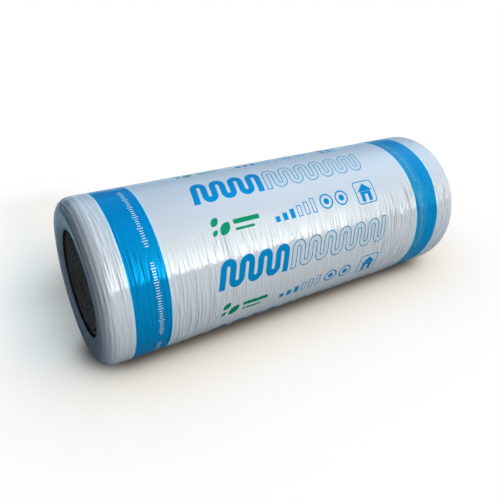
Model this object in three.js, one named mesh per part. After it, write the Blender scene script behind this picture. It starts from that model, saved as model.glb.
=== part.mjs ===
// A roll of mineral-wool insulation in its plastic film, lying on its side.
// Millimetres, +Z up. The roll's axis runs along X, and the origin is on the floor under its middle.

import * as THREE from 'three';

// ---- Driving dimensions ----

const rollLength = 1200;      // over the film, end to end
const rollDiameter = 446;     // over the film
const shoulderRadius = 36;    // rounded edge between the roll's side and its ends
const endRingWidth = 8;       // flat ring that the roll stands on when it is set on end
const lipWidth = 35;          // film that leans in from the flat ring to the opening's hem
const lipInset = 7.6;         // how far the hem lies behind the end of the roll
const filmThickness = 1;      // the wrap's layers together
const hemRadius = 1.5;        // gathered edge of the film round the opening
const filmClearance = 0.3;    // between the film and the wool
const woolRecess = 11;        // from the hem back to the face of the wool
const turnThickness = 14;     // one turn of the compressed blanket
const eyeRadius = 11;         // open eye in the middle of the winding
const creaseDepth = 3;        // crease between two turns on the wool's ends
const creaseHalfWidth = 2.5;

// ---- Fineness of the curves ----

const facets = 48;            // sides of the roll; one of them lies on the floor
const shoulderSteps = 6;
const lipSteps = 4;
const hemSteps = 4;

// ---- Sizes that follow ----

const rollRadius = rollDiameter / 2;
const halfLength = rollLength / 2;
const ringOuterRadius = rollRadius - shoulderRadius;
const ringInnerRadius = ringOuterRadius - endRingWidth;
const hemMiddleRadius = ringInnerRadius - lipWidth;
const woolGap = filmThickness + filmClearance;
const woolRadius = rollRadius - woolGap;
const woolHalfLength = halfLength - woolGap;
const woolFaceX = halfLength - lipInset - woolRecess;

// ---- Profiles: each point is (distance from the roll's axis, place along it) ----

/** Points of a rounded shoulder, from the roll's side to its end. */
function shoulder(inset) {
  const radius = shoulderRadius - inset;
  const points = [];
  for (let step = 0; step <= shoulderSteps; step += 1) {
    const turn = (step / shoulderSteps) * (Math.PI / 2);
    points.push(new THREE.Vector2(
      ringOuterRadius + radius * Math.cos(turn),
      halfLength - shoulderRadius + radius * Math.sin(turn),
    ));
  }
  return points;
}

/** Points of the film's lip: an arc that leaves the flat ring square and leans in towards the opening. */
function lip(inset) {
  const arcRadius = (lipWidth ** 2 + lipInset ** 2) / (2 * lipInset);
  const lean = Math.asin(lipWidth / arcRadius);
  const radius = arcRadius - inset;
  const points = [];
  for (let step = 0; step <= lipSteps; step += 1) {
    const turn = (step / lipSteps) * lean;
    points.push(new THREE.Vector2(
      ringInnerRadius - radius * Math.sin(turn),
      halfLength - arcRadius + radius * Math.cos(turn),
    ));
  }
  return points;
}

/** Points round the gathered hem, from the film's outer face to its inner one. */
function hem(outer, inner) {
  const middle = outer.clone().add(inner).multiplyScalar(0.5);
  const start = Math.atan2(outer.y - middle.y, outer.x - middle.x);
  const points = [];
  for (let step = 0; step <= hemSteps; step += 1) {
    const turn = start + (step / hemSteps) * Math.PI;
    points.push(new THREE.Vector2(
      middle.x + hemRadius * Math.cos(turn),
      middle.y + hemRadius * Math.sin(turn),
    ));
  }
  return points;
}

/** One end of the film, from its outer side round the opening's edge and back along its inner side. */
function filmEnd() {
  const outerLip = lip(0);
  const innerLip = lip(filmThickness);
  return [
    ...shoulder(0),
    ...outerLip,
    ...hem(outerLip.at(-1), innerLip.at(-1)),
    ...innerLip.reverse(),
    ...shoulder(filmThickness).reverse(),
  ];
}

/** How far along the axis the wool reaches at a radius, before its creases are cut. */
function woolReach(radius) {
  const rise = (radius - hemMiddleRadius) / lipWidth;
  return THREE.MathUtils.lerp(woolFaceX, woolHalfLength, THREE.MathUtils.clamp(rise, 0, 1));
}

/** Radii at which one turn of the blanket meets the next, out to the flat part of the end. */
function turnRadii() {
  const radii = [];
  for (let r = eyeRadius + turnThickness; r < ringOuterRadius - creaseHalfWidth; r += turnThickness) {
    radii.push(r);
  }
  return radii;
}

/** One end of the wool, from its outer side in to the eye, with a crease where two turns meet. */
function woolEnd() {
  const creases = turnRadii();
  const depthAt = (radius) => creases.reduce(
    (depth, crease) => Math.max(depth, creaseDepth * (1 - Math.abs(radius - crease) / creaseHalfWidth)),
    0,
  );
  const radii = [
    eyeRadius,
    hemMiddleRadius,
    ringInnerRadius,
    ...creases.flatMap((crease) => [crease - creaseHalfWidth, crease, crease + creaseHalfWidth]),
  ];
  radii.sort((a, b) => b - a);
  const face = radii.map((radius) => new THREE.Vector2(radius, woolReach(radius) - depthAt(radius)));
  return [...shoulder(woolGap), ...face];
}

/** The same end turned round to the other side of the roll, in the order that carries the outline on. */
function mirrored(points) {
  return points.map((point) => new THREE.Vector2(point.x, -point.y)).reverse();
}

/** Joins both ends into one closed outline without repeated points. */
function closedOutline(end) {
  const outline = [...end, ...mirrored(end)];
  const kept = outline.filter((point, i) => point.distanceTo(outline.at(i - 1)) > 0.01);
  return [...kept, kept[0].clone()];
}

/** Turns an outline about the roll's axis, with one facet flat on the floor. Its radii are those of the flats. */
function turned(name, outline, material) {
  const halfFacet = Math.PI / facets;
  const corners = outline.map((point) => new THREE.Vector2(point.x / Math.cos(halfFacet), point.y));
  const geometry = new THREE.LatheGeometry(corners, facets, Math.PI + halfFacet);
  const mesh = new THREE.Mesh(geometry, material);
  mesh.name = name;
  mesh.rotation.z = -Math.PI / 2;
  return mesh;
}

// ---- The roll ----

const film = new THREE.MeshStandardMaterial({ color: 0xd5deea, roughness: 0.28, metalness: 0 });
const wool = new THREE.MeshStandardMaterial({ color: 0x37322d, roughness: 0.95, metalness: 0 });

const roll = new THREE.Group();
roll.add(turned('wool_roll', closedOutline(woolEnd()), wool));
roll.add(turned('film_wrapper', closedOutline(filmEnd()), film));
roll.position.z = rollRadius;

const insulationRoll = new THREE.Group();
insulationRoll.add(roll);

export default insulationRoll;
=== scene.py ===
"""A roll of mineral-wool insulation in its printed film, dressed for rendering.

The roll lies along X on a pale studio floor. Sizes are in metres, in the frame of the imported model. The film
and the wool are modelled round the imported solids, and each stands for its own.
"""

import logging
import math
from dataclasses import dataclass, field
from enum import Enum
from typing import Any, Callable, Mapping, Optional, Union

import bmesh
import bpy
import numpy as np
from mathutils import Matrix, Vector


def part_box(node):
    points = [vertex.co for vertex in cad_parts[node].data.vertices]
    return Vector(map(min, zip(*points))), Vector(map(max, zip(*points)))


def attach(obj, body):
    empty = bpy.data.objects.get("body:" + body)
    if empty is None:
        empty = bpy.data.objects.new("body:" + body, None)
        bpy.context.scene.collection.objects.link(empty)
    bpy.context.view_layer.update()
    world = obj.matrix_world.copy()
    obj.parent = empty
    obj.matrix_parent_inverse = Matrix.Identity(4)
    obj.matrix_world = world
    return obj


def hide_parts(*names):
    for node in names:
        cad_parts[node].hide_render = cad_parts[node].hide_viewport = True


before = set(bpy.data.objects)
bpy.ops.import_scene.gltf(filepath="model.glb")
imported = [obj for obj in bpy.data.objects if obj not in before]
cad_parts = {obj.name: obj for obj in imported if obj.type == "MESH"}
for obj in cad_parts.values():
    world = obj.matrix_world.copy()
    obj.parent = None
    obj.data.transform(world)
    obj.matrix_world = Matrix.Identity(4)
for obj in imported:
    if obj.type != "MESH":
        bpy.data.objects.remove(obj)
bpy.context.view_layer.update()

logging.basicConfig(level=logging.INFO, format="%(name)s: %(message)s")
log = logging.getLogger("insulation_roll")

BODY = "root"
# the point attribute that holds the wool's painted shade
PAINTED_WOOL_SHADE = "painted_wool_shade"
FULL_TURN = 2 * math.pi
QUARTER = math.pi / 2
MM = 0.001
MERGE = 1e-6
# where the film lies calm, as a share of a turn up from the front
CALM = 0.21

Colour = tuple[float, float, float, float]
Step = tuple[float, float]


class Slot(Enum):
    """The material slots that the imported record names."""

    FILM = "film"
    WOOL = "wool"


# ---- Shader trees as expressions ----


def operator(operation: str, last: bool = False) -> Callable[..., "Reading"]:
    """Makes a method of Reading.

    Args:
        operation: the operation of the Math node that it adds.
        last: whether the reading itself is the node's last input, and not its first.

    Returns:
        The method.
    """

    def method(self: "Reading", *terms: "Term") -> "Reading":
        """Adds a Math node from this value and the terms."""
        return self.tree.math(operation, *((*terms, self) if last else (self, *terms)))

    return method


@dataclass(frozen=True)
class Reading:
    """A value that a shader works out at each point, held by one socket of a node tree."""

    tree: "ShaderTree"
    socket: bpy.types.NodeSocket

    __add__, __radd__ = operator("ADD"), operator("ADD", last=True)
    __sub__, __rsub__ = operator("SUBTRACT"), operator("SUBTRACT", last=True)
    __mul__, __rmul__ = operator("MULTIPLY"), operator("MULTIPLY", last=True)
    __truediv__, __rtruediv__ = operator("DIVIDE"), operator("DIVIDE", last=True)
    __pow__, __rpow__ = operator("POWER"), operator("POWER", last=True)
    __abs__, root = operator("ABSOLUTE"), operator("SQRT")
    least, most, above = operator("MINIMUM"), operator("MAXIMUM"), operator("GREATER_THAN")
    fraction, whole = operator("FRACT"), operator("FLOOR")

    def stepped(self, low: float, high: float) -> "Reading":
        """Goes smoothly from 0 at the first bound to 1 at the second, which may lie below it."""
        inputs = {"Value": self, "From Min": low, "From Max": high}
        return self.tree.add("ShaderNodeMapRange", {"interpolation_type": "SMOOTHSTEP"}, inputs)


Term = Union[float, Reading]
Paint = Union[Colour, Reading]
Values = Optional[Mapping[Any, Any]]


def hypotenuse(a: Reading, b: Reading) -> Reading:
    """Gives the length of a vector from its two parts."""
    return (a * a + b * b).root()


class ShaderTree:
    """A node tree that is written as expressions."""

    def __init__(self, tree: bpy.types.NodeTree) -> None:
        """Empties the node tree of a material or a world."""
        self.tree = tree
        tree.nodes.clear()

    def add(self, kind: str, settings: Values = None, inputs: Values = None, output: Any = 0) -> Reading:
        """Adds one node.

        Args:
            kind: the node's type.
            settings: the node's own settings, made first.
            inputs: numbers, colours or readings for its sockets, by name or number.
            output: which of its outputs to read, by name or number.

        Returns:
            A reading of that output.
        """
        node = self.tree.nodes.new(kind)
        for name, value in (settings or {}).items():
            setattr(node, name, value)
        for name, value in (inputs or {}).items():
            if isinstance(value, Reading):
                self.tree.links.new(value.socket, node.inputs[name])
            else:
                node.inputs[name].default_value = value
        return Reading(self, node.outputs[output])

    def math(self, operation: str, *terms: Term, clamp: bool = False) -> Reading:
        """Adds a Math node, whose result may be kept between 0 and 1."""
        settings = {"operation": operation, "use_clamp": clamp}
        return self.add("ShaderNodeMath", settings, dict(enumerate(terms)))

    def point(self, x: Term, y: Term, z: Term) -> Reading:
        """Joins three numbers into a vector."""
        return self.add("ShaderNodeCombineXYZ", None, {0: x, 1: y, 2: z})

    def parts(self, vector: Reading) -> list[Reading]:
        """Splits a vector or a colour into its three numbers."""
        node = self.add("ShaderNodeSeparateXYZ", None, {0: vector}).socket.node
        return [Reading(self, socket) for socket in node.outputs]

    def place(self, kind: str = "Object") -> list[Reading]:
        """Gives the point's X, Y and Z on its object, or a direction's in a world."""
        return self.parts(self.add("ShaderNodeTexCoord", None, None, kind))

    def camera_ray(self) -> Reading:
        """Gives 1 to what the eye sees directly, and 0 to all other light."""
        return self.add("ShaderNodeLightPath", None, None, "Is Camera Ray")

    def mix(self, share: Term, first: Paint, second: Paint) -> Reading:
        """Mixes two colours by the second one's share."""
        settings = {"data_type": "RGBA", "clamp_factor": True}
        return self.add("ShaderNodeMix", settings, {0: share, 6: first, 7: second}, 2)

    def noise(self, at: Reading, scale: float, detail: float, roughness: float = 0.5) -> Reading:
        """Adds soft noise from about 0 to 1, with finer layers by their number and their strength."""
        inputs = {"Vector": at, "Scale": scale, "Detail": detail, "Roughness": roughness}
        return self.add("ShaderNodeTexNoise", {"noise_dimensions": "3D"}, inputs)

    def bump(self, height: Reading, distance: float, strength: float = 1.0) -> Reading:
        """Turns a height, as a share of a distance in metres, into a normal."""
        inputs = {"Height": height, "Distance": distance, "Strength": strength}
        return self.add("ShaderNodeBump", None, inputs)

    def surface(self, **inputs: Any) -> None:
        """Ends the tree in a Principled shader, with its sockets by name and _ for each space."""
        named = {name.replace("_", " "): value for name, value in inputs.items()}
        self.end("ShaderNodeOutputMaterial", self.add("ShaderNodeBsdfPrincipled", None, named))

    def end(self, kind: str, shader: Reading) -> None:
        """Links a shader to an output node of the given type."""
        end = self.tree.nodes.new(kind)
        self.tree.links.new(shader.socket, end.inputs["Surface"])


def new_material(name: str) -> tuple[bpy.types.Material, ShaderTree]:
    """Makes a material.

    Args:
        name: the material's name.

    Returns:
        The material, and its empty tree.
    """
    made = bpy.data.materials.new(name)
    made.use_nodes = True
    return made, ShaderTree(made.node_tree)


# ---- The film's print ----


@dataclass(frozen=True)
class Spot:
    """A point of the film laid flat, in metres from a motif's middle."""

    along: Reading
    up: Reading

    def moved(self, along: float, up: float) -> "Spot":
        """Gives the same point, measured from another middle."""
        return Spot(self.along - along, self.up - up)


@dataclass(frozen=True)
class Stencil:
    """Shapes that the print is made of. Each gives the distance to its outline, which is negative inside."""

    tree: ShaderTree
    edge: float = 0.4 * MM

    def cover(self, distance: Reading) -> Reading:
        """Turns a distance into ink: 1 inside the outline and 0 outside, with a soft edge."""
        return self.tree.math("MULTIPLY_ADD", distance, -0.5 / self.edge, 0.5, clamp=True)

    def disc(self, spot: Spot, radius: float) -> Reading:
        """A round spot."""
        return hypotenuse(spot.along, spot.up) - radius

    def block(self, spot: Spot, width: float, height: Term) -> Reading:
        """A rectangle with square corners."""
        return (abs(spot.along) - width / 2).most(abs(spot.up) - height / 2)

    def tile(self, spot: Spot, width: float, height: float, radius: float) -> Reading:
        """A rectangle with round corners, true to one corner radius inside its edge."""
        across = (abs(spot.along) - (width / 2 - radius)).most(0.0)
        return hypotenuse(across, (abs(spot.up) - (height / 2 - radius)).most(0.0)) - radius

    def lens(self, spot: Spot, size: float) -> Reading:
        """A leaf of half this length: where two like discs overlap."""
        apart = size * 0.55
        return self.disc(Spot(spot.along, abs(spot.up) + apart), math.hypot(size, apart))

    def outline(self, distance: Reading, width: float) -> Reading:
        """A line along a shape's edge, inside it."""
        return abs(distance + width / 2) - width / 2

    def serpentine(self, spot: Spot, pitch: float, height: float) -> Reading:
        """The middle of a line that runs up and down in round bends, as the sign for soft fill does.

        Args:
            spot: the point to measure from.
            pitch: the distance between two neighbouring legs.
            height: how far the line reaches from top to bottom.

        Returns:
            The distance to the line.
        """
        column = (spot.along / pitch).whole()
        along = spot.along - (column + 0.5) * pitch
        up = spot.up * (1.0 - (column * 0.5).fraction() * 4.0)
        reach = (height - pitch) / 2
        top = hypotenuse(along, (up - reach).most(0.0))
        low = hypotenuse(abs(along) - pitch, (up + reach).least(0.0))
        upper = up.above(0.0)
        return abs(top * upper + low * (1.0 - upper) - pitch / 2)


@dataclass(frozen=True)
class FilmPrint:
    """The print on the film: two bands, and motifs that repeat round the roll, a page at a time."""

    film: Colour = (0.76, 0.777, 0.85, 1)
    blue: Colour = (0.0015, 0.293, 0.672, 1)
    light_blue: Colour = (0.025, 0.315, 0.62, 1)
    pale_blue: Colour = (0.42, 0.70, 0.88, 1)
    line_blue: Colour = (0.05, 0.30, 0.52, 1)
    green: Colour = (0.006, 0.30, 0.15, 1)
    white: Colour = (0.80, 0.88, 0.95, 1)
    rim: Colour = (0.657, 0.86, 0.966, 1)

    pages: int = 6
    page_start: float = math.radians(30.5)
    left_band: Step = (-0.5245, -0.4325)
    right_band: Step = (0.4090, 0.5040)
    right_band_split: float = 0.4535
    band_edge: float = 6.5 * MM
    # each scale's place along the roll, and how strong its white is
    scales: tuple[Step, ...] = ((-0.4610, 0.95), (0.4330, 0.25))
    marks: int = 35
    group: int = 5
    mark_half_width: float = 1.1 * MM
    mark_half: float = 4.5 * MM
    long_mark_more: float = 2.5 * MM
    scale_start: float = 0.35
    scale_share: float = 0.86

    line_up: float = 0.1525
    line_left: float = -0.2900
    line_height: float = 0.078
    line_pitch: float = 0.0275
    line_stroke: float = 0.0182
    solid_columns: int = 7
    all_columns: int = 20
    slant: float = 0.22

    # places along the roll, on a common line up the page
    signs_up: float = 0.040
    leaves: float = -0.262
    bars: float = -0.190
    steps: float = -0.112
    rings: float = 0.100
    house: float = 0.220
    step_pitch: float = 0.0250
    step_count: int = 6
    # each leaf's middle, and half of its length
    leaf_sizes: tuple[tuple[float, float, float], ...] = (
        (0.006, -0.006, 0.021),
        (-0.017, 0.016, 0.015),
        (-0.024, -0.012, 0.010),
    )

    def colour(self, stencil: Stencil, along: Reading, turn: Reading, radius: float) -> Reading:
        """Prints the bands and the motifs.

        Args:
            stencil: the shapes to print with.
            along: the place along the roll.
            turn: the angle round the roll.
            radius: the roll's radius.

        Returns:
            The film's colour.
        """
        tree, height = stencil.tree, FULL_TURN * radius / self.pages
        colour = self._bands(stencil, along, turn * radius, height)
        share = ((turn - self.page_start) * (self.pages / FULL_TURN)).fraction()
        page = Spot(along, share * height)
        solid, hollow = self._winding_line(stencil, page)
        fill = stencil.cover(hollow)
        edge = stencil.cover(stencil.outline(hollow, width=3.0 * MM))
        blue = self._signs(stencil, page)
        green = self._leaves(stencil, page)
        colour = tree.mix(fill * 0.25, colour, self.pale_blue)
        colour = tree.mix(edge, colour, self.line_blue)
        colour = tree.mix(stencil.cover(solid).most(blue), colour, self.blue)
        return tree.mix(green, colour, self.green)

    def _bands(self, stencil: Stencil, along: Reading, arc: Reading, page_height: float) -> Reading:
        """Prints the two bands.

        Args:
            stencil: the shapes to print with.
            along: the place along the roll.
            arc: the place round the roll.
            page_height: how far round the roll a page runs.

        Returns:
            The colour so far.
        """
        tree, bands = stencil.tree, (self.left_band, self.right_band)
        left, right = (abs(along - (low + high) / 2) - (high - low) / 2 for low, high in bands)
        nearest = left.least(right)
        solid = stencil.cover(nearest)
        colour = tree.mix(stencil.cover(nearest - self.band_edge), self.film, self.rim)
        colour = tree.mix(solid, colour, self.blue)
        past = (along - self.right_band[0]).above(0.0)
        pale_half = solid * past * (self.right_band_split - along).above(0.0)
        colour = tree.mix(pale_half, colour, self.light_blue)
        # a fine scale runs round both bands, with a longer mark at the start of each group
        pitch = page_height / self.marks
        mark = stencil.cover(abs((arc / pitch).fraction() - 0.5) * pitch - self.mark_half_width)
        first = (1 / self.group - (arc / (self.group * pitch)).fraction()).above(0.0)
        run = (self.scale_share - (arc / page_height + self.scale_start).fraction()).above(0.0)
        half = first * self.long_mark_more + self.mark_half
        for middle, strength in self.scales:
            ticks = stencil.cover(abs(along - middle) - half) * mark * run
            colour = tree.mix(ticks * strength, colour, self.white)
        return colour

    def _winding_line(self, stencil: Stencil, page: Spot) -> tuple[Reading, ...]:
        """Draws the winding line.

        Args:
            stencil: the shapes to print with.
            page: the point on the page.

        Returns:
            The distance to the outline of its solid run, and of its hollow one.
        """
        spot = page.moved(self.line_left, self.line_up)
        spot = Spot(spot.along - spot.up * self.slant, spot.up)
        pitch, stroke, height = self.line_pitch, self.line_stroke, self.line_height
        # the bends are left out where a run starts or ends, so that its last leg is straight
        column = spot.along / pitch
        bend = (height - stroke - pitch) / 2
        low_free = (0.5 - column).most(1.0 - abs(column - (self.solid_columns + 0.5))).above(0.0)
        top_free = (column - (self.all_columns - 0.5)).above(0.0)
        up = spot.up.most(low_free * (1.0 - bend) - 1.0).least(1.0 - top_free * (1.0 - bend))
        line = stencil.serpentine(Spot(spot.along, up), pitch, height - stroke) - stroke / 2
        line = line.most(abs(spot.up) - height / 2)
        runs = ((0, self.solid_columns), (self.solid_columns + 1, self.all_columns))
        return tuple(
            line.most(abs(spot.along - (first + last) / 2 * pitch) - ((last - first) * pitch + stroke) / 2)
            for first, last in runs
        )

    def _signs(self, stencil: Stencil, page: Spot) -> Reading:
        """Draws the blue signs: rising bars, two rings and a house.

        Args:
            stencil: the shapes to print with.
            page: the point on the page.

        Returns:
            Where the blue ink lies.
        """
        row = page.moved(self.steps, self.signs_up)
        column = (row.along / self.step_pitch).whole()
        tall = column * 5.5 * MM + 16 * MM
        cell = Spot(row.along - (column + 0.5) * self.step_pitch, row.up + 0.024 - tall / 2)
        bar = stencil.block(cell, width=15 * MM, height=tall)
        filled = (self.step_count / 2 - column).above(0.5)
        half = self.step_count * self.step_pitch / 2
        steps = bar * filled + stencil.outline(bar, width=2.7 * MM) * (1.0 - filled)
        steps = steps.most(abs(row.along - half) - half)

        rings = page.moved(self.rings, self.signs_up)
        pair = Spot(abs(rings.along) - 0.0275, rings.up)
        ring = stencil.outline(stencil.disc(pair, radius=0.0228), width=4.8 * MM)
        ink = steps.least(ring).least(stencil.disc(pair, radius=0.0095))

        sign = page.moved(self.house, self.signs_up)
        plate = stencil.outline(stencil.tile(sign, width=0.074, height=0.072, radius=0.012), width=3.4 * MM)
        eaves = (abs(sign.along) * 0.66 + (sign.up - 0.0275) * 0.75).most(0.0025 - sign.up)
        walls = stencil.block(sign.moved(0.0, -0.0135), width=0.040, height=0.031)
        door = stencil.block(sign.moved(0.0, -0.0180), width=0.012, height=0.023)
        return stencil.cover(ink.least(plate).least(eaves.least(walls.most(door * -1.0))))

    def _leaves(self, stencil: Stencil, page: Spot) -> Reading:
        """Draws the green signs: three leaves and two bars.

        Args:
            stencil: the shapes to print with.
            page: the point on the page.

        Returns:
            Where the green ink lies.
        """
        bars = page.moved(self.bars, self.signs_up + 0.006)
        ink = stencil.tile(bars, width=0.078, height=0.013, radius=0.004)
        ink = ink.least(stencil.tile(bars.moved(-0.010, -0.020), width=0.058, height=0.007, radius=0.003))
        diagonal = math.sqrt(0.5)
        for along, up, size in self.leaf_sizes:
            leaf = page.moved(self.leaves + along, self.signs_up + up)
            turned = Spot((leaf.along + leaf.up) * diagonal, (leaf.up - leaf.along) * diagonal)
            ink = ink.least(stencil.lens(turned, size))
        return stencil.cover(ink)


@dataclass(frozen=True)
class FilmFinish:
    """Glossy opaque packing film with its print."""

    axis_height: float
    radius: float

    roughness: float = 0.055
    rough_clouds: float = 0.06
    rough_end: float = 0.02
    metal: float = 0.12
    ink_metal: float = 0.09
    ink_step: Step = (0.45, 0.15)
    ink_metal_step: Step = (0.05, -0.35)
    rough_end_step: Step = (-0.49, -0.53)
    calm_step: Step = (0.70, 0.90)
    low_step: Step = (0.75, 0.40)
    end_strip: Step = (-0.50, -0.53)
    beside_start: Step = (-0.45, -0.42)
    beside_end: Step = (-0.29, -0.37)
    far_step: Step = (0.10, 0.26)
    gather_step: Step = (0.192, 0.158)

    def material(self) -> bpy.types.Material:
        """Makes the film's material.

        Returns:
            The material.
        """
        made, tree = new_material("printed_film")
        x, y, z = tree.place()
        up = z - self.axis_height
        colour = FilmPrint().colour(Stencil(tree), x, tree.math("ARCTAN2", up, y * -1.0), self.radius)
        clouds = tree.noise(tree.point(x, y, up), 9.0, 2.0) * self.rough_clouds
        relief = self._relief(tree, x, y, up)
        inked = tree.parts(colour)[0].stepped(*self.ink_step) * x.stepped(*self.ink_metal_step)
        tree.surface(
            Base_Color=colour,
            Roughness=clouds + x.stepped(*self.rough_end_step) * self.rough_end + self.roughness,
            Metallic=inked * self.ink_metal + self.metal,
            Specular_IOR_Level=0.05,
            Specular_Tint=(0.12, 0.7, 1.0, 1),
            Normal=relief,
        )
        return made

    def _relief(self, tree: ShaderTree, x: Reading, y: Reading, up: Reading) -> Reading:
        """Gives the film its fine creases, the ripples of its calm top and the gathers round its openings.

        Args:
            tree: the film's tree.
            x: the place along the roll.
            y: the place across the roll.
            up: the height above the roll's axis.

        Returns:
            The film's normal.
        """
        top = CALM * FULL_TURN
        facing = (up * math.sin(top) - y * math.cos(top)) / self.radius
        calm = facing.stepped(*self.calm_step) * (1.0 - x.stepped(*self.end_strip) * 0.7)
        # beside the near band the creases are wide low down and faint further up
        low = facing.stepped(*self.low_step)
        beside = x.stepped(*self.beside_start) * x.stepped(*self.beside_end)
        wide_share = beside * low * 0.35
        fine_share = x.stepped(*self.far_step) * 0.55 + beside * (low - 1.0) * 0.48 + 0.62
        hoops = tree.point(x, y * 0.10, up * 0.10)
        creases = self._valleys(tree.noise(hoops, 88.0, 1.0, 0.4), 0.12) * wide_share
        creases = creases + self._valleys(tree.noise(hoops, 104.0, 1.0, 0.4), 0.20) * fine_share
        patches = tree.noise(tree.point(x, y, up), 14.0, 1.0).stepped(0.25, 0.65)
        creases = creases * (1.0 - calm * 0.92) * (patches * 0.5 + 0.5)
        crinkle = tree.noise(tree.point(x, y * 0.09, up * 0.09), 330.0, 3.0, 0.55)
        ripples = tree.noise(tree.point(x * 0.30, y, up), 110.0, 1.0).stepped(0.58, 0.72) * calm * patches
        relief = creases + crinkle * 0.07 + ripples * 0.35
        reach = hypotenuse(y, up)
        spokes = tree.noise(tree.point(y / reach, up / reach, reach * 1.5), 15.0, 2.0)
        gathers = self._valleys(spokes, 0.16) * reach.stepped(*self.gather_step)
        return tree.bump(relief + gathers * 0.75, 1 * MM)

    @staticmethod
    def _valleys(noise: Reading, width: float) -> Reading:
        """Turns noise into a sheet at 1 with thin valleys down to 0, where the noise is near its middle."""
        return abs(noise - 0.5).stepped(0.0, width)


@dataclass(frozen=True)
class WoolFinish:
    """Dark mineral wool, seen on the edges of its turns."""

    axis_height: float
    # the colour of the painted shade in the spiral seam and in the groove by the hem
    shade: Colour = (0.012, 0.009, 0.007, 1)
    dark: Colour = (0.102, 0.069, 0.050, 1)
    middle: Colour = (0.20, 0.150, 0.115, 1)
    light: Colour = (0.42, 0.32, 0.24, 1)
    # the tones where each of the last three colours is pure
    tones: tuple[float, float, float] = (0.50, 0.68, 0.90)
    painted_shade_share: float = 0.75

    def material(self) -> bpy.types.Material:
        """Makes the wool's material.

        Returns:
            The material.
        """
        made, tree = new_material("mineral_wool")
        x, y, z = tree.place()
        up = z - self.axis_height
        reach = hypotenuse(y, up)
        across, upright = y / reach, up / reach
        layers = tree.noise(tree.point(reach, across * 0.010, upright * 0.010), 420.0, 3.0, 0.6)
        bundles = tree.noise(tree.point(reach, across * 0.030, upright * 0.030), 110.0, 2.0)
        solid = tree.point(x, y, up)
        tufts = tree.noise(solid, 90.0, 4.0, 0.62)
        patches = tree.noise(solid, 24.0, 3.0)
        fibres = tree.noise(solid, 900.0, 3.0, 0.7)
        tone = layers * 0.35 + bundles * 0.35 + tufts * 0.30 + patches * 0.45 + fibres * 0.15 - 0.12
        first, second, third = self.tones
        colour = tree.mix((tone - first) / (second - first), self.dark, self.middle)
        colour = tree.mix((tone - second) / (third - second), colour, self.light)
        # painted shade: darker along the spiral seam and in the groove by the hem
        painted_wool_shade = tree.add("ShaderNodeAttribute", {"attribute_name": PAINTED_WOOL_SHADE}, None, "Fac")
        height = layers * 0.5 + tufts * 0.8 + fibres * 0.35
        tree.surface(
            Base_Color=tree.mix(painted_wool_shade * self.painted_shade_share, colour, self.shade),
            Roughness=0.95,
            Specular_IOR_Level=0.15,
            Sheen_Weight=0.25,
            Sheen_Roughness=0.6,
            Normal=tree.bump(height, 2.2 * MM, strength=0.9),
        )
        return made


# ---- The roll ----


def ease(share: np.ndarray) -> np.ndarray:
    """Turns a share from 0 to 1 into one that starts and ends softly."""
    return share * share * (3 - 2 * share)


def smooth(value: np.ndarray, low: float, high: float) -> np.ndarray:
    """Goes smoothly from 0 at the first bound to 1 at the second, which may lie below it."""
    return ease(np.clip((value - low) / (high - low), 0, 1))


def read_rows(items: bpy.types.bpy_prop_collection, name: str) -> np.ndarray:
    """Reads a vector from each vertex or normal of a mesh, one a row."""
    items.foreach_get(name, values := np.empty(len(items) * 3))
    return values.reshape(-1, 3)


def finished(work: bmesh.types.BMesh, name: str) -> bpy.types.Object:
    """Turns a bmesh into an object of the scene.

    Args:
        work: the bmesh, which is freed.
        name: the object's name.

    Returns:
        The object.
    """
    mesh = bpy.data.meshes.new(name)
    work.to_mesh(mesh)
    work.free()
    made = bpy.data.objects.new(name, mesh)
    bpy.context.scene.collection.objects.link(made)
    return made


@dataclass(frozen=True)
class Skin:
    """Points of a skin, by their places along it and, as shares of a turn, round the roll."""

    along: np.ndarray
    turn: np.ndarray
    # how far from 0 the places along it go
    reach: float

    def noise(self, seed: int, spacing: float, arcs: int) -> np.ndarray:
        """Reads seeded noise, drawn out round the roll and closed on itself there.

        Args:
            seed: the seed of its random numbers.
            spacing: the distance between two neighbouring lines of it along the skin.
            arcs: how many values a line has round the roll.

        Returns:
            Values from -1 to 1.
        """
        lines = int(2 * self.reach / spacing) + 4
        source = np.random.default_rng(seed)
        values = source.uniform(-1, 1, (lines, arcs))
        shifts = source.uniform(0, 1, lines)
        place = np.clip((self.along + self.reach) / spacing, 0, lines - 2.001) + 0.5
        line = np.floor(place).astype(int)
        ends = []
        for side in (line, np.minimum(line + 1, lines - 1)):
            arc = ((self.turn + shifts[side]) % 1.0) * arcs
            first = np.floor(arc).astype(int) % arcs
            start = values[side, first]
            ends.append(start + (values[side, (first + 1) % arcs] - start) * ease(arc - np.floor(arc)))
        return ends[0] + (ends[1] - ends[0]) * ease(place - line)


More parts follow.
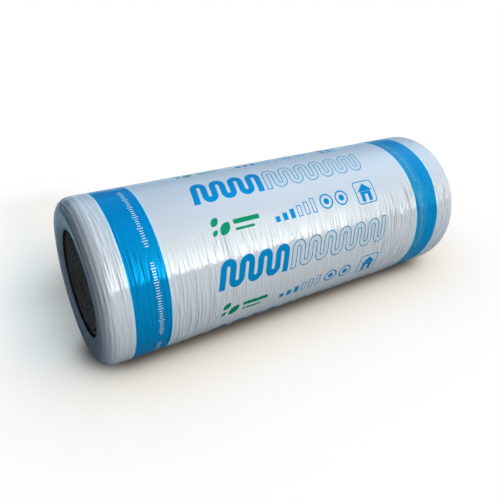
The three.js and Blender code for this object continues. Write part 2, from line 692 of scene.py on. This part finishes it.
@dataclass(frozen=True)
class FoldZone:
    """A stretch of the roll where the film is drawn into folds that run part of the way round it."""

    start: float
    end: float
    pitch: float
    width: float
    height: float
    low_height: float
    shortest: float
    longest: float
    gap: float = 0.02

    def press(self, source: np.random.Generator, skin: Skin, girth: float, out: np.ndarray) -> None:
        """Adds the zone's folds, end to end in columns that stand side by side along the roll.

        Args:
            source: the random numbers.
            skin: the film's points, in order along the roll.
            girth: the length once round the roll.
            out: how far each point stands out.
        """
        along = self.start
        while along < self.end:
            place = source.uniform(0, self.longest)
            end = place + girth - self.shortest
            while place < end:
                length = source.uniform(self.shortest, self.longest)
                half, turn = length / 2, (place + length / 2) / girth
                # two folds in three stand out, and the third is pressed in
                size = source.uniform(0.35, 1.0) * source.choice((1.0, 1.0, -0.8))
                middle = along + source.normal(0, self.pitch * 0.16)
                width = self.width * source.uniform(0.75, 1.35)
                slant = source.normal(0, 0.022)
                bend = source.uniform(0.3, 1.3) * MM
                phase = source.uniform(0, FULL_TURN)
                reach = 3 * width + abs(slant) * half + bend
                near = slice(*np.searchsorted(skin.along, (middle - reach, middle + reach)))
                run = ((skin.turn[near] - turn + 0.5) % 1.0 - 0.5) * girth
                path = middle + slant * run + bend * np.sin(run / 0.035 + phase)
                taper = np.clip(1 - (run / half) ** 2, 0, 1)
                # the height changes low down on the front
                low_front = np.clip(np.cos((skin.turn[near] + 0.06) * FULL_TURN) * 5 - 3.75, 0, 1)
                height = self.height * size + (self.low_height * size - self.height * size) * low_front
                wave = np.exp(-(((skin.along[near] - path) / width) ** 2))
                out[near] += height * wave * taper * np.sqrt(taper)
                place += length + source.uniform(0, self.gap)
            along += self.pitch * source.uniform(0.7, 1.3)


@dataclass(frozen=True)
class Envelope:
    """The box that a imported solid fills, as a roll along X."""

    half_length: float
    radius: float
    axis_height: float

    @classmethod
    def of(cls, node: str) -> "Envelope":
        """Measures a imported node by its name."""
        low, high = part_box(node)
        return cls((high.x - low.x) / 2, (high.z - low.z) / 2, (high.z + low.z) / 2)

    def polar(self, points: np.ndarray) -> tuple[np.ndarray, np.ndarray]:
        """Gives points' distances from the axis, and their places round it as shares of a turn."""
        up = points[:, 2] - self.axis_height
        return np.hypot(points[:, 1], up), (np.arctan2(up, -points[:, 1]) / FULL_TURN) % 1.0


class Outline:
    """A closed outline beside the roll's axis, drawn from point to point and then turned about the axis."""

    def __init__(self, height: float, along: float, radius: float) -> None:
        """Sets the pen down by its place along the axis and from it, with the height of the axis."""
        self.height, self.work = height, bmesh.new()
        self.tip = self.work.verts.new((along, 0, height + radius))

    def line(self, along: float, radius: float, row: float = math.inf) -> None:
        """Draws straight to a place along the axis and from it, by steps of a row's length at most."""
        move = Vector((along, 0, self.height + radius)) - self.tip.co
        self._sweep(Vector(), 0.0, move, max(1, math.ceil(move.length / row)))

    def arc(self, along: float, radius: float, turn: float, row: float) -> None:
        """Draws an arc about a centre, clockwise with the axis to the right, by steps like a line's."""
        centre = Vector((along, 0, self.height + radius))
        self._sweep(centre, turn, Vector(), math.ceil((self.tip.co - centre).length * abs(turn) / row))

    def _sweep(self, centre: Vector, turn: float, move: Vector, steps: int) -> None:
        """Turns the pen about a centre, or moves it straight, and leaves edges behind it."""
        made = bmesh.ops.spin(
            self.work, geom=[self.tip], cent=centre, axis=(0, 1, 0), dvec=move / steps,
            angle=turn, steps=steps, use_merge=False,
        )
        self.tip = next(item for item in made["geom_last"] if isinstance(item, bmesh.types.BMVert))

    def turned(self, name: str, steps: int) -> bpy.types.Object:
        """Closes the outline and turns it about the roll's axis.

        Args:
            name: the new object's name.
            steps: how many steps the turn has.

        Returns:
            The turned object, shaded smooth.
        """
        work = self.work
        bmesh.ops.remove_doubles(work, verts=work.verts, dist=MERGE)
        bmesh.ops.spin(
            work, geom=work.verts[:] + work.edges[:], cent=(0, 0, self.height), axis=(1, 0, 0),
            angle=FULL_TURN, steps=steps, use_merge=True,
        )
        bmesh.ops.remove_doubles(work, verts=work.verts, dist=MERGE)
        bmesh.ops.recalc_face_normals(work, faces=work.faces)
        made = finished(work, name)
        made.data.shade_smooth()
        return made


@dataclass
class FilmWrapper:
    """The film: a tight skin with rounded shoulders, drawn in over both ends to a round opening."""

    name: str = "film_skin"
    envelope: Envelope = field(default_factory=lambda: Envelope.of("film_wrapper"))
    steps: int = 112
    shoulder: float = 0.036
    ring_width: float = 0.008
    lip_width: float = 0.035
    lip_inset: float = 0.0076
    thickness: float = 1 * MM
    hem: float = 1.5 * MM
    hem_row: float = 1.0 * MM
    calm_half: float = 0.33
    fold_row: float = 1.45 * MM
    side_row: float = 1.85 * MM
    lip_row: float = 2.6 * MM
    inner_row: float = 12 * MM
    overlap: float = 0.15
    hem_turn_in: float = 9 * MM

    # each zone's start and end, its folds' pitch, width and height, their height low in front,
    # and their shortest and longest length
    fold_zones: tuple[FoldZone, ...] = (
        FoldZone(-0.590, -0.520, 8.0 * MM, 2.1 * MM, 0.48 * MM, 0.45 * MM, 0.05, 0.17),
        FoldZone(-0.520, -0.435, 9.5 * MM, 2.3 * MM, 1.05 * MM, 0.70 * MM, 0.05, 0.17),
        FoldZone(-0.435, -0.300, 9.0 * MM, 2.3 * MM, 0.55 * MM, 3.5 * MM, 0.05, 0.19),
        FoldZone(-0.300, 0.260, 9.5 * MM, 2.5 * MM, 1.10 * MM, 1.1 * MM, 0.04, 0.12, gap=0.03),
        FoldZone(0.260, 0.410, 7.5 * MM, 2.0 * MM, 3.30 * MM, 2.3 * MM, 0.04, 0.14),
        FoldZone(0.410, 0.590, 7.5 * MM, 2.0 * MM, 2.60 * MM, 1.7 * MM, 0.04, 0.14),
    )
    deepest: float = -0.6 * MM
    highest: float = 3 * MM
    ring_pitch: float = 13 * MM
    ring_height: float = 0.55 * MM
    ring_wander: float = 3.2 * MM
    gather_pitch: float = 9 * MM
    gather_height: float = 0.22 * MM
    gather_wander: float = 2 * MM
    pleat_height: float = 0.85 * MM
    wide_swell: float = 0.7 * MM
    small_swell: float = 0.25 * MM

    def __post_init__(self) -> None:
        """Works out the radii of the flat ring, and the arc in which the lip leans in from it."""
        self.ring_outer = self.envelope.radius - self.shoulder
        self.ring_inner = self.ring_outer - self.ring_width
        self.lip_arc = (self.lip_width**2 + self.lip_inset**2) / (2 * self.lip_inset)
        self.lip_lean = math.asin(self.lip_width / self.lip_arc)
        self.lip_centre = self.envelope.half_length - self.lip_arc

    def build(self) -> bpy.types.Object:
        """Returns:
            The film.
        """
        made = self._outline()
        self._wrinkle(made.data)
        finish = FilmFinish(self.envelope.axis_height, self.envelope.radius)
        made.data.materials.append(finish.material())
        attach(made, BODY)
        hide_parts("film_wrapper")
        return made

    def _outline(self) -> bpy.types.Object:
        """Turns the film's closed wall.

        Returns:
            The smooth film.
        """
        hem = self.envelope.half_length - self.lip_inset
        pen = Outline(self.envelope.axis_height, -hem, self.ring_inner - self.lip_width)
        self._skin(pen, 1, 0.0)
        self._hem(pen, 1)
        self._skin(pen, -1, self.thickness)
        self._hem(pen, -1)
        return pen.turned(self.name, self.steps)

    def _skin(self, pen: Outline, way: int, inset: float) -> None:
        """Draws the film from one hem to the other.

        Args:
            pen: the outline.
            way: 1 towards +X, and -1 back again.
            inset: how far the skin lies inside the film's outer face.
        """
        end, side = self.envelope.half_length, self.envelope.radius - inset
        outer = inset == 0
        row, lip_row = (self.fold_row, self.lip_row) if outer else (self.inner_row, self.inner_row)
        corner, lip = way * (end - self.shoulder), way * self.lip_centre
        pen.arc(-lip, self.ring_inner, way * self.lip_lean, lip_row)
        pen.line(-way * (end - inset), self.ring_outer, lip_row)
        pen.arc(-corner, self.ring_outer, way * QUARTER, row)
        if outer:
            pen.line(-self.calm_half, side, row)
            pen.line(self.calm_half, side, self.side_row)
        pen.line(corner, side, row if outer else math.inf)
        pen.arc(corner, self.ring_outer, way * QUARTER, row)
        pen.line(way * (end - inset), self.ring_inner, lip_row)
        pen.arc(lip, self.ring_inner, way * self.lip_lean, lip_row)

    def _hem(self, pen: Outline, way: int) -> None:
        """Draws the gathered bead that edges the film's opening.

        Args:
            pen: the outline, at the outer face of the +X hem or the inner face of the -X one.
            way: 1 at the +X end, and -1 at the other.
        """
        cosine, sine = math.cos(self.lip_lean), math.sin(self.lip_lean)
        middle = self.lip_arc - self.thickness / 2
        along, radius = way * (self.lip_centre + middle * cosine), self.ring_inner - middle * sine
        pen.line(along + self.hem * cosine, radius - way * self.hem * sine)
        pen.arc(along, radius, math.pi, self.hem_row)
        face = self.lip_arc - (self.thickness if way > 0 else 0.0)
        pen.line(way * (self.lip_centre + face * cosine), self.ring_inner - face * sine)

    def _wrinkle(self, mesh: bpy.types.Mesh) -> None:
        """Moves the outer skin's points into the film's folds, rings and gathers.

        Args:
            mesh: the film's mesh.
        """
        points = read_rows(mesh.vertices, "co")
        normals = read_rows(mesh.vertex_normals, "vector")
        middle = np.zeros_like(points)
        core = self.envelope.half_length - 0.1
        middle[:, 0] = np.clip(points[:, 0], -core, core)
        middle[:, 2] = self.envelope.axis_height
        outer = (normals * (points - middle)).sum(1) > 0
        reach, turn = self.envelope.polar(points)
        along, side_end = np.abs(points[:, 0]), self.envelope.half_length - self.shoulder
        # how far the film runs to each point from the flat ring's outer edge, less than 0 inwards of it
        angle = np.arctan2(np.maximum(reach - self.ring_outer, 0), np.maximum(along - side_end, 1e-9))
        run = np.where(along < side_end, self.shoulder * QUARTER + side_end - along, angle * self.shoulder)
        run = np.where(reach < self.ring_outer, reach - self.ring_outer, run)
        whole = side_end + self.shoulder * QUARTER
        skin = Skin(np.sign(points[:, 0]) * (whole - run), turn, 0.70)

        out = self._hoops(skin, run) + self._gathers(skin, run)
        hem = -self.ring_width - self.lip_width
        fade = smooth(run, hem + 1 * MM, hem + 6 * MM)
        points += normals * (np.clip(out, self.deepest, self.highest) * fade * outer)[:, None]
        points[:, 2] = np.maximum(points[:, 2], 0.0)
        mesh.vertices.foreach_set("co", points.ravel())
        mesh.update()

    def _hoops(self, skin: Skin, run: np.ndarray) -> np.ndarray:
        """Adds up the folds round the roll, which are strongest near its ends and faint on its calm top.

        Args:
            skin: the film's points.
            run: how far the film runs to each point from the flat ring's outer edge.

        Returns:
            How far each point stands out.
        """
        source, order = np.random.default_rng(21), np.argsort(skin.along)
        placed = Skin(skin.along[order], skin.turn[order], skin.reach)
        folds = np.zeros(len(order))
        for zone in self.fold_zones:
            zone.press(source, placed, FULL_TURN * self.envelope.radius, folds)
        out = np.empty_like(folds)
        out[order] = folds
        end_strip = smooth(skin.along, -0.505, -0.535)
        calm = smooth(np.cos((skin.turn - CALM) * FULL_TURN), 0.62, 0.88) * (0.90 - 0.45 * end_strip)
        return out * (1.0 - calm) * smooth(run, 0.010, 0.045)

    def _gathers(self, skin: Skin, run: np.ndarray) -> np.ndarray:
        """Adds up the rings of the shoulders, the gathers round the openings and the wool's swell.

        Args:
            skin: the film's points.
            run: how far the film runs to each point from the flat ring's outer edge.

        Returns:
            How far each point stands out.
        """
        # rings round each shoulder, where the film turns in over the end
        wave = np.cos((run + skin.noise(41, 0.03, 8) * self.ring_wander) / self.ring_pitch * FULL_TURN)
        zone = smooth(run, 2 * MM, 14 * MM) * smooth(run, 0.062, 0.034)
        out = wave * (0.55 + 0.6 * skin.noise(42, 0.014, 7)) * zone * self.ring_height
        # rings and slight pleats round the opening
        inwards = np.maximum(-run, 0)
        wander = skin.noise(51, 0.02, 6) * self.gather_wander
        rings = np.cos((inwards + wander) / self.gather_pitch * FULL_TURN) * self.gather_height
        out += (rings + skin.noise(52, 0.05, 30) * self.pleat_height) * smooth(inwards, 2 * MM, 30 * MM)
        # the wide, shallow swell of the wool under the film
        swell = skin.noise(61, 0.16, 7) * self.wide_swell + skin.noise(62, 0.06, 15) * self.small_swell
        return out + swell * smooth(run, -0.02, 0.05)


@dataclass
class WoolRoll:
    """The wound blanket: a turned body whose ends show the spiral of its turns."""

    name: str = "wound_wool"
    envelope: Envelope = field(default_factory=lambda: Envelope.of("wool_roll"))
    steps: int = 192
    shoulder: float = 0.0347
    face_depth: float = 13.0 * MM
    hem_radius: float = 0.144
    ring_radius: float = 0.179
    eye: float = 0.011
    turn_thickness: float = 0.014
    face_row: float = 1.0 * MM
    hidden_row: float = 8 * MM
    eye_row: float = 0.06

    wobble: float = 2.2 * MM
    crease_depth: float = 2.6 * MM
    crease_change: float = 0.9 * MM
    crease_width: float = 0.10
    # how wide the painted shade along the spiral seam is
    seam_shade_width: float = 0.13
    crown: float = 0.9 * MM
    groove_depth: float = 6.0 * MM
    # the layers, tufts and lumps of the ends: each one's seed, spacing, arcs and height
    uneven: tuple[tuple[int, float, int, float], ...] = (
        (73, 2.6 * MM, 60, 0.55 * MM),
        (74, 6 * MM, 90, 0.60 * MM),
        (75, 0.022, 16, 1.3 * MM),
    )

    def build(self) -> bpy.types.Object:
        """Returns:
            The wool.
        """
        made = self._outline()
        self._wind(made.data)
        made.data.materials.append(WoolFinish(self.envelope.axis_height).material())
        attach(made, BODY)
        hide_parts("wool_roll")
        return made

    def _outline(self) -> bpy.types.Object:
        """Turns the body of the wool.

        Returns:
            The smooth body.
        """
        end, radius = self.envelope.half_length, self.envelope.radius
        face, corner = end - self.face_depth, radius - self.shoulder
        pen = Outline(self.envelope.axis_height, -face, self.eye)
        pen.line(-face, self.hem_radius, self.face_row)
        pen.line(-end, self.ring_radius, self.hidden_row)
        pen.line(-end, corner)
        pen.arc(self.shoulder - end, corner, QUARTER, self.hidden_row)
        pen.line(end - self.shoulder, radius)
        pen.arc(end - self.shoulder, corner, QUARTER, self.hidden_row)
        pen.line(end, self.ring_radius)
        pen.line(face, self.hem_radius, self.hidden_row)
        pen.line(face, self.eye, self.face_row)
        pen.line(-face, self.eye, self.eye_row)
        return pen.turned(self.name, self.steps)

    def _wind(self, mesh: bpy.types.Mesh) -> None:
        """Presses the spiral seam, the fibrous unevenness and the groove along the hem into both ends, with
        painted shade in the seam and the groove.

        Args:
            mesh: the wool's mesh.
        """
        points = read_rows(mesh.vertices, "co")
        reach, turn = self.envelope.polar(points)
        side = np.sign(points[:, 0])
        face = self.envelope.half_length - self.face_depth
        on_face = (np.abs(points[:, 0]) > face - 1 * MM) & (reach < self.ring_radius)
        skin = Skin(reach * side, turn, 0.25)

        wander = skin.noise(71, 0.016, 13) * self.wobble
        wound = (reach - self.eye + wander) / self.turn_thickness - turn * side
        share = wound - np.floor(wound)
        seam = np.minimum(share, 1 - share)
        depth = self.crease_depth + self.crease_change * skin.noise(72, 0.014, 9)
        out = (1 - (2 * share - 1) ** 2) * self.crown - np.exp(-((seam / self.crease_width) ** 2)) * depth
        for seed, spacing, arcs, height in self.uneven:
            out += skin.noise(seed, spacing, arcs) * height
        hem = self.hem_radius
        calm = smooth(reach, hem + 4 * MM, hem - 8 * MM) * smooth(reach, self.eye, self.eye + 3 * MM)
        groove = smooth(reach, hem - 9 * MM, hem - 1 * MM) * smooth(reach, hem + 20 * MM, hem + 6 * MM)
        points[:, 0] += side * (out * calm - groove * self.groove_depth) * on_face
        mesh.vertices.foreach_set("co", points.ravel())
        # painted shade, kept for the shader: darkest along the spiral seam and in the groove by the hem, where
        # shade falls
        dark = np.maximum(np.exp(-((seam / self.seam_shade_width) ** 2)) * calm, groove)
        mesh.attributes.new(PAINTED_WOOL_SHADE, "FLOAT", "POINT").data.foreach_set("value", dark * on_face)
        mesh.update()


# ---- The studio ----


@dataclass(frozen=True)
class Shade:
    """A soft shade round a rectangle of the floor."""

    # the rectangle's middle, and half of its size each way
    middle: Step
    half: Step
    # how far from it the shade is down to a half, and how sharply it ends
    reach: float
    fall: float
    depth: float = 1.0

    def at(self, *place: Reading) -> Reading:
        """Works out the shade.

        Args:
            place: the places along the roll and across it.

        Returns:
            The shade, from its depth in the rectangle to 0 far away.
        """
        sides = zip(place, self.middle, self.half)
        away = ((abs(along - middle) - half).most(0.0) for along, middle, half in sides)
        return self.depth / (1.0 + (hypotenuse(*away) / self.reach) ** self.fall)


@dataclass(frozen=True)
class Sky:
    """The directions round the roll, as a shader reads them."""

    x: Reading
    y: Reading
    z: Reading
    level: Reading

    def facing(self, degrees: float) -> Reading:
        """How far a direction faces a turn about the vertical, from -1 to 1."""
        turn = math.radians(degrees)
        return (self.x * math.cos(turn) + self.y * math.sin(turn)) / self.level


@dataclass(frozen=True)
class Lamp:
    """A soft patch of light on one side of the room."""

    colour: Colour
    # its turn about the vertical in degrees, where it fades sideways, and where it fades upwards
    turn: float
    sides: Step
    heights: tuple[Step, ...] = ()

    def share(self, sky: Sky) -> Reading:
        """Gives how much of the lamp shows in a direction, from 0 to 1."""
        shares = (sky.z.stepped(*height) for height in self.heights)
        return math.prod(shares, start=sky.facing(self.turn).stepped(*self.sides))


@dataclass(frozen=True)
class Studio:
    """The pale floor, the soft light and the camera."""

    azimuth: float = math.radians(-32.14)
    elevation: float = math.radians(26.59)
    distance: float = 1.5217
    target: tuple[float, float, float] = (-0.0747, 0.0, 0.1831)
    lens: float = 35.39
    sensor: float = 36.0

    floor_radius: float = 40.0
    floor_paper: Colour = (0.16, 0.12, 0.09, 1)
    near_bounce: Colour = (0.33, 0.37, 0.37, 1)
    far_bounce: Colour = (0.80, 0.80, 0.76, 1)
    left_bounce: Colour = (0.075, 0.090, 0.115, 1)
    # the floor's glow to the eye, and warm and cool tints painted into the edges of its painted shadows
    glow: Colour = (0.92, 0.925, 0.935, 1)
    warm_glow: Colour = (0.93, 0.90, 0.82, 1)
    cool_glow: Colour = (0.84, 0.91, 0.93, 1)
    # painted shadows in the glow: along the roll's foot, behind it, and faintly behind the near end
    contact_shadow: Shade = Shade((0.0175, 0.0), (0.5175, 0.0), 0.1195, 7.2)
    behind_shadow: Shade = Shade((0.041, 0.258), (0.398, 0.074), 0.298, 4.1, 0.79)
    corner: Shade = Shade((-0.50, 1.00), (0.03, 0.25), 0.16, 3.0, 0.10)

    room: Colour = (0.14, 0.195, 0.25, 1)
    back: Lamp = Lamp((0.20, 0.42, 0.62, 1), 48, (0.75, 0.98), ((0.72, 0.25),))
    near_end: Lamp = Lamp((0.02, 0.03, 0.05, 1), 180, (-0.3, 0.6))
    # low behind the roll, over its back, low past its far end, and ahead of it
    lamps: tuple[Lamp, ...] = (
        Lamp((0.90, 0.80, 0.65, 1), 90, (0.45, 0.95), ((0.08, 0.01),)),
        Lamp((0.36, 0.56, 0.72, 1), 48, (0.1, 0.9), ((0.30, 0.60), (1.0, 0.8))),
        Lamp((0.62, 0.26, 0.05, 1), 0, (0.70, 1.0), ((0.60, 0.20),)),
        Lamp((0.245, 0.25, 0.275, 1), -75, (0.0, 1.0), ((0.75, 0.15),)),
    )
    side: Colour = (1.04, 1.30, 1.49, 1)
    side_light: tuple[float, float, float] = (0.702, -0.124, 0.701)
    panel: Lamp = Lamp((6.2, 5.95, 4.95, 1), -60, (0.88, 1.0))
    under_panel: Lamp = Lamp((0.25, 0.21, 0.14, 1), -60, (0.75, 0.98))
    panel_edge_turn: float = -66
    panel_edge: float = 0.134
    edge_half: float = 0.03
    # towards this side the panel's lower edge is lifted
    corner_turn: float = 30
    corner_lift: float = 0.24
    white: Colour = (1, 1, 1, 1)
    black: Colour = (0, 0, 0, 1)

    def build(self) -> None:
        """Builds the floor, the light and the camera."""
        self._floor()
        self._light()
        self._camera()

    def _floor(self) -> None:
        """Lays matt paper, which glows white to the eye alone, as painted light, outside painted shadows round
        the roll.
        """
        work = bmesh.new()
        bmesh.ops.create_circle(work, cap_ends=True, segments=96, radius=self.floor_radius)
        floor = finished(work, "studio_floor")
        material, tree = new_material("studio_floor")
        x, y, _ = tree.place()
        # the glow, less the painted shadows along the roll's foot, behind it and behind its near end
        behind_shadow = self.behind_shadow.at(x, y) * (1.0 - x.stepped(-0.66, -0.98) * 0.55)
        glow = (1.0 - self.contact_shadow.at(x, y)) * (1.0 - behind_shadow) * (1.0 - self.corner.at(x, y))
        # painted tints in the shadows' soft edges: warm in front of the roll and cool behind its near end
        tint = tree.mix(x.stepped(-0.42, -0.62) * y.stepped(-0.30, 0.10), self.warm_glow, self.cool_glow)
        tint = tree.mix(glow.stepped(0.75, 1.0), tint, self.glow)
        # to other light the floor is darker near the roll, as painted shade, brighter far off and darker past
        # the near end
        bounce = tree.mix(abs(y).stepped(0.35, 0.90), self.near_bounce, self.far_bounce)
        bounce = tree.mix(x.stepped(-0.82, -1.25), bounce, self.left_bounce)
        seen = tree.camera_ray()
        tree.surface(
            Base_Color=tree.mix(seen, bounce, self.floor_paper),
            Roughness=0.9,
            Specular_IOR_Level=0.0,
            Emission_Color=tree.mix(glow * seen, self.black, tint),
            Emission_Strength=1.0,
        )
        floor.data.materials.append(material)

    def _light(self) -> None:
        """Lights the room: a low panel in front with a straight lower edge, soft lamps and a dim room."""
        world = bpy.data.worlds.new("soft_room")
        bpy.context.scene.world = world
        world.use_nodes = True
        tree = ShaderTree(world.node_tree)
        x, y, z = tree.place("Generated")
        sky = Sky(x, y, z, hypotenuse(x, y).most(0.001))
        lift = sky.facing(self.corner_turn).stepped(0.12, 0.45) * self.corner_lift
        edge = (z / sky.level - lift) / self.panel_edge - sky.facing(self.panel_edge_turn)
        panel = edge.stepped(-self.edge_half, self.edge_half) * self.panel.share(sky)
        under = edge.stepped(self.edge_half, -self.edge_half) * self.under_panel.share(sky)
        aside = x * self.side_light[0] + y * self.side_light[1] + z * self.side_light[2]
        light = tree.mix(self.back.share(sky), self.room, self.back.colour)
        light = tree.mix(self.near_end.share(sky), light, self.near_end.colour)
        lights = [(lamp.share(sky), lamp.colour) for lamp in self.lamps]
        lights.append((aside.stepped(0.717, 1.0), self.side))
        lights.append((under * z.above(0.0) * (1.0 - lift * 3.0), self.under_panel.colour))
        lights.append((panel * ((1.0 - z) * 1.15) ** 1.4, self.panel.colour))
        for share, colour in lights:
            strength = {0: colour[:3], 1: tree.point(share, share, share), 2: light}
            light = tree.add("ShaderNodeVectorMath", {"operation": "MULTIPLY_ADD"}, strength)
        shown = tree.mix(tree.camera_ray(), light, self.white)
        background = tree.add("ShaderNodeBackground", None, {"Color": shown, "Strength": 1.0})
        tree.end("ShaderNodeOutputWorld", background)

    def _camera(self) -> None:
        """Sets up the camera."""
        level = math.cos(self.elevation)
        ahead, aside = math.cos(self.azimuth) * level, math.sin(self.azimuth) * level
        back = Vector((aside, -ahead, math.sin(self.elevation)))
        data = bpy.data.cameras.new("camera")
        data.sensor_width, data.lens = self.sensor, self.lens
        camera = bpy.data.objects.new("camera", data)
        camera.location = Vector(self.target) + back * self.distance
        camera.rotation_mode = "QUATERNION"
        camera.rotation_quaternion = (-back).to_track_quat("-Z", "Y")
        bpy.context.scene.collection.objects.link(camera)
        bpy.context.scene.camera = camera


def main() -> None:
    """Builds the roll and the studio round it."""
    bpy.context.scene.view_settings.view_transform = "Standard"
    wool = WoolRoll().build()
    wrapper = FilmWrapper()
    film = wrapper.build()
    for made in (wool, film):
        log.info("%s has %d faces", made.name, len(made.data.polygons))
    Studio().build()


if __name__ == "__main__":
    main()
